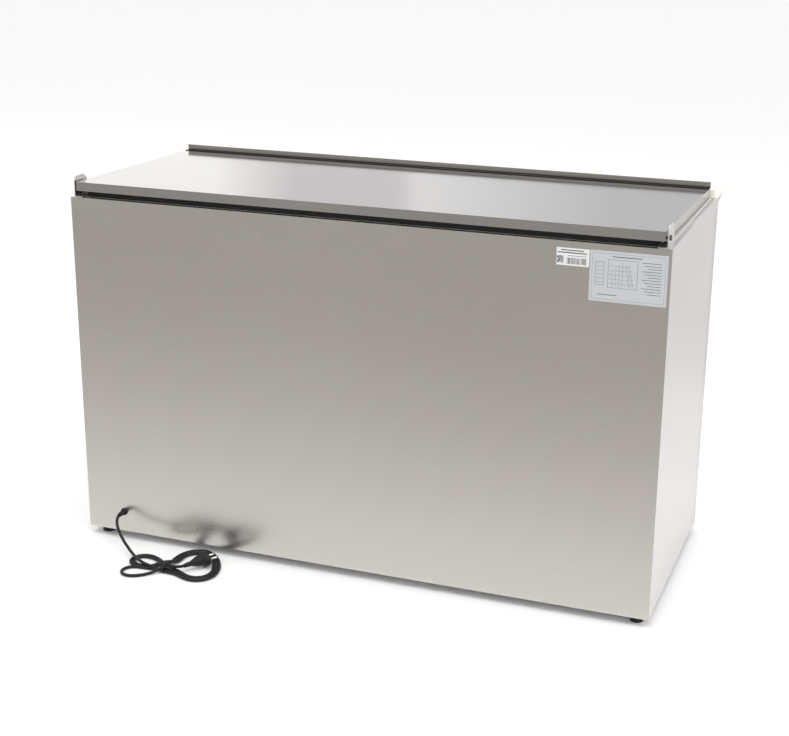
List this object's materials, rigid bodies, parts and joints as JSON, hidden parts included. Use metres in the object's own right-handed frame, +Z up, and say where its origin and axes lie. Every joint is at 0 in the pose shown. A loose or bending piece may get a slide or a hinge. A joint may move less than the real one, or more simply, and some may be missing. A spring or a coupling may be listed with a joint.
{
  "type": "chest freezer",
  "caption": "Stainless commercial chest freezer with a hinged full-width lid, an insulated tank with sliding baskets, a machine bay, a front work board and levelling feet.",
  "frame": {"origin": "on the floor under the middle of the freezer's outer box, the mains lead left out", "axes": "+X along the length, to the right of someone facing the front; -Y towards the front and +Y towards the hinged back; +Z up"},
  "size_m": [1.365, 0.8826, 0.874],
  "materials": {
    "brushed_stainless": "brushed",
    "inner_stainless": "satin",
    "galvanised_sheet": "satin",
    "grey_plastic": "matte",
    "insulation_foam": "matte",
    "copper_pipe": "satin",
    "black_plastic": "matte",
    "white_plastic": "satin",
    "green_plastic": "gloss",
    "black_paint": "satin",
    "black_rubber": "matte",
    "zinc_plate": "satin",
    "coated_wire": "satin"
  },
  "bodies": {
    "cabinet": {"back_panel": "brushed_stainless", "left_side_panel": "brushed_stainless", "right_side_panel": "brushed_stainless", "front_panel": "brushed_stainless", "front_rail": "brushed_stainless", "base_pan": "galvanised_sheet", "tank_liner": "inner_stainless", "top_rim": "grey_plastic", "foam_insulation": "insulation_foam", "evaporator_coil": "copper_pipe", "machine_bay_lining": "galvanised_sheet", "front_grille": "black_plastic", "thermostat_body": "white_plastic", "switch_housing": "black_plastic", "compressor": "black_paint", "terminal_cover": "black_plastic", "compressor_mount_1": "black_rubber", "compressor_mount_2": "black_rubber", "compressor_mount_3": "black_rubber", "compressor_mount_4": "black_rubber", "condenser": "black_paint", "fan_shroud": "galvanised_sheet", "fan_motor": "black_paint", "suction_tube": "copper_pipe", "discharge_tube": "copper_pipe", "filter_drier": "copper_pipe", "liquid_tube": "copper_pipe", "capillary_tube": "copper_pipe", "drain_pipe": "grey_plastic", "left_hinge_bracket": "zinc_plate", "right_hinge_bracket": "zinc_plate", "left_hinge_pin": "zinc_plate", "right_hinge_pin": "zinc_plate", "left_hinge_screw_1": "zinc_plate", "left_hinge_screw_2": "zinc_plate", "right_hinge_screw_1": "zinc_plate", "right_hinge_screw_2": "zinc_plate", "left_board_bracket": "brushed_stainless", "right_board_bracket": "brushed_stainless", "cable_gland": "black_rubber", "power_cord": "black_rubber", "power_cord_bundle": "black_rubber", "cord_tie": "black_plastic", "power_plug": "black_plastic"},
    "lid": {"lid_skin": "brushed_stainless", "lid_foam": "insulation_foam", "lid_liner": "inner_stainless", "lid_gasket": "black_rubber", "lid_front_rail": "brushed_stainless"},
    "left_basket_body": {"left_basket": "coated_wire"},
    "right_basket_body": {"right_basket": "coated_wire"},
    "board": {"work_board": "white_plastic"},
    "thermostat_dial": {"thermostat_knob": "black_plastic"},
    "mains_switch": {"power_rocker": "green_plastic"},
    "fan": {"fan_blades": "black_plastic"},
    "drain_stopper": {"drain_plug": "grey_plastic"},
    "foot_front_left": {"levelling_foot_front_left": "black_rubber"},
    "foot_front_right": {"levelling_foot_front_right": "black_rubber"},
    "foot_back_left": {"levelling_foot_back_left": "black_rubber"},
    "foot_back_right": {"levelling_foot_back_right": "black_rubber"}
  },
  "joints": [
    {"name": "lid_hinge", "type": "hinge", "parent": "cabinet", "child": "lid", "pos_m": [0, 0.336, 0.848], "axis": [-1, 0, 0], "range_deg": [0, 95]},
    {"name": "left_basket_slide", "type": "slide", "parent": "cabinet", "child": "left_basket_body", "axis": [1, 0, 0], "range_m": [0, 0.25]},
    {"name": "right_basket_slide", "type": "slide", "parent": "cabinet", "child": "right_basket_body", "axis": [-1, 0, 0], "range_m": [0, 0.25]},
    {"name": "board_lift", "type": "slide", "parent": "cabinet", "child": "board", "axis": [0, 0, 1], "range_m": [0, 0.15]},
    {"name": "thermostat_turn", "type": "hinge", "parent": "cabinet", "child": "thermostat_dial", "pos_m": [0.4949, -0.2128, 0.254], "axis": [0, -1, 0], "range_deg": [0, 270]},
    {"name": "mains_switch_rock", "type": "hinge", "parent": "cabinet", "child": "mains_switch", "pos_m": [0.6189, -0.2088, 0.254], "axis": [-1, 0, 0], "range_deg": [0, 16]},
    {"name": "fan_spin", "type": "hinge", "parent": "cabinet", "child": "fan", "pos_m": [0.5569, -0.13, 0.168], "axis": [0, 1, 0], "continuous": true},
    {"name": "drain_plug_lift", "type": "slide", "parent": "cabinet", "child": "drain_stopper", "axis": [0, 0, 1], "range_m": [0, 0.06]},
    {"name": "foot_front_left_turn", "type": "hinge", "parent": "cabinet", "child": "foot_front_left", "pos_m": [-0.6505, -0.178, 0.03], "axis": [0, 0, 1], "continuous": true},
    {"name": "foot_front_right_turn", "type": "hinge", "parent": "cabinet", "child": "foot_front_right", "pos_m": [0.6505, -0.178, 0.03], "axis": [0, 0, 1], "continuous": true},
    {"name": "foot_back_left_turn", "type": "hinge", "parent": "cabinet", "child": "foot_back_left", "pos_m": [-0.6505, 0.318, 0.03], "axis": [0, 0, 1], "continuous": true},
    {"name": "foot_back_right_turn", "type": "hinge", "parent": "cabinet", "child": "foot_back_right", "pos_m": [0.6505, 0.318, 0.03], "axis": [0, 0, 1], "continuous": true}
  ]
}
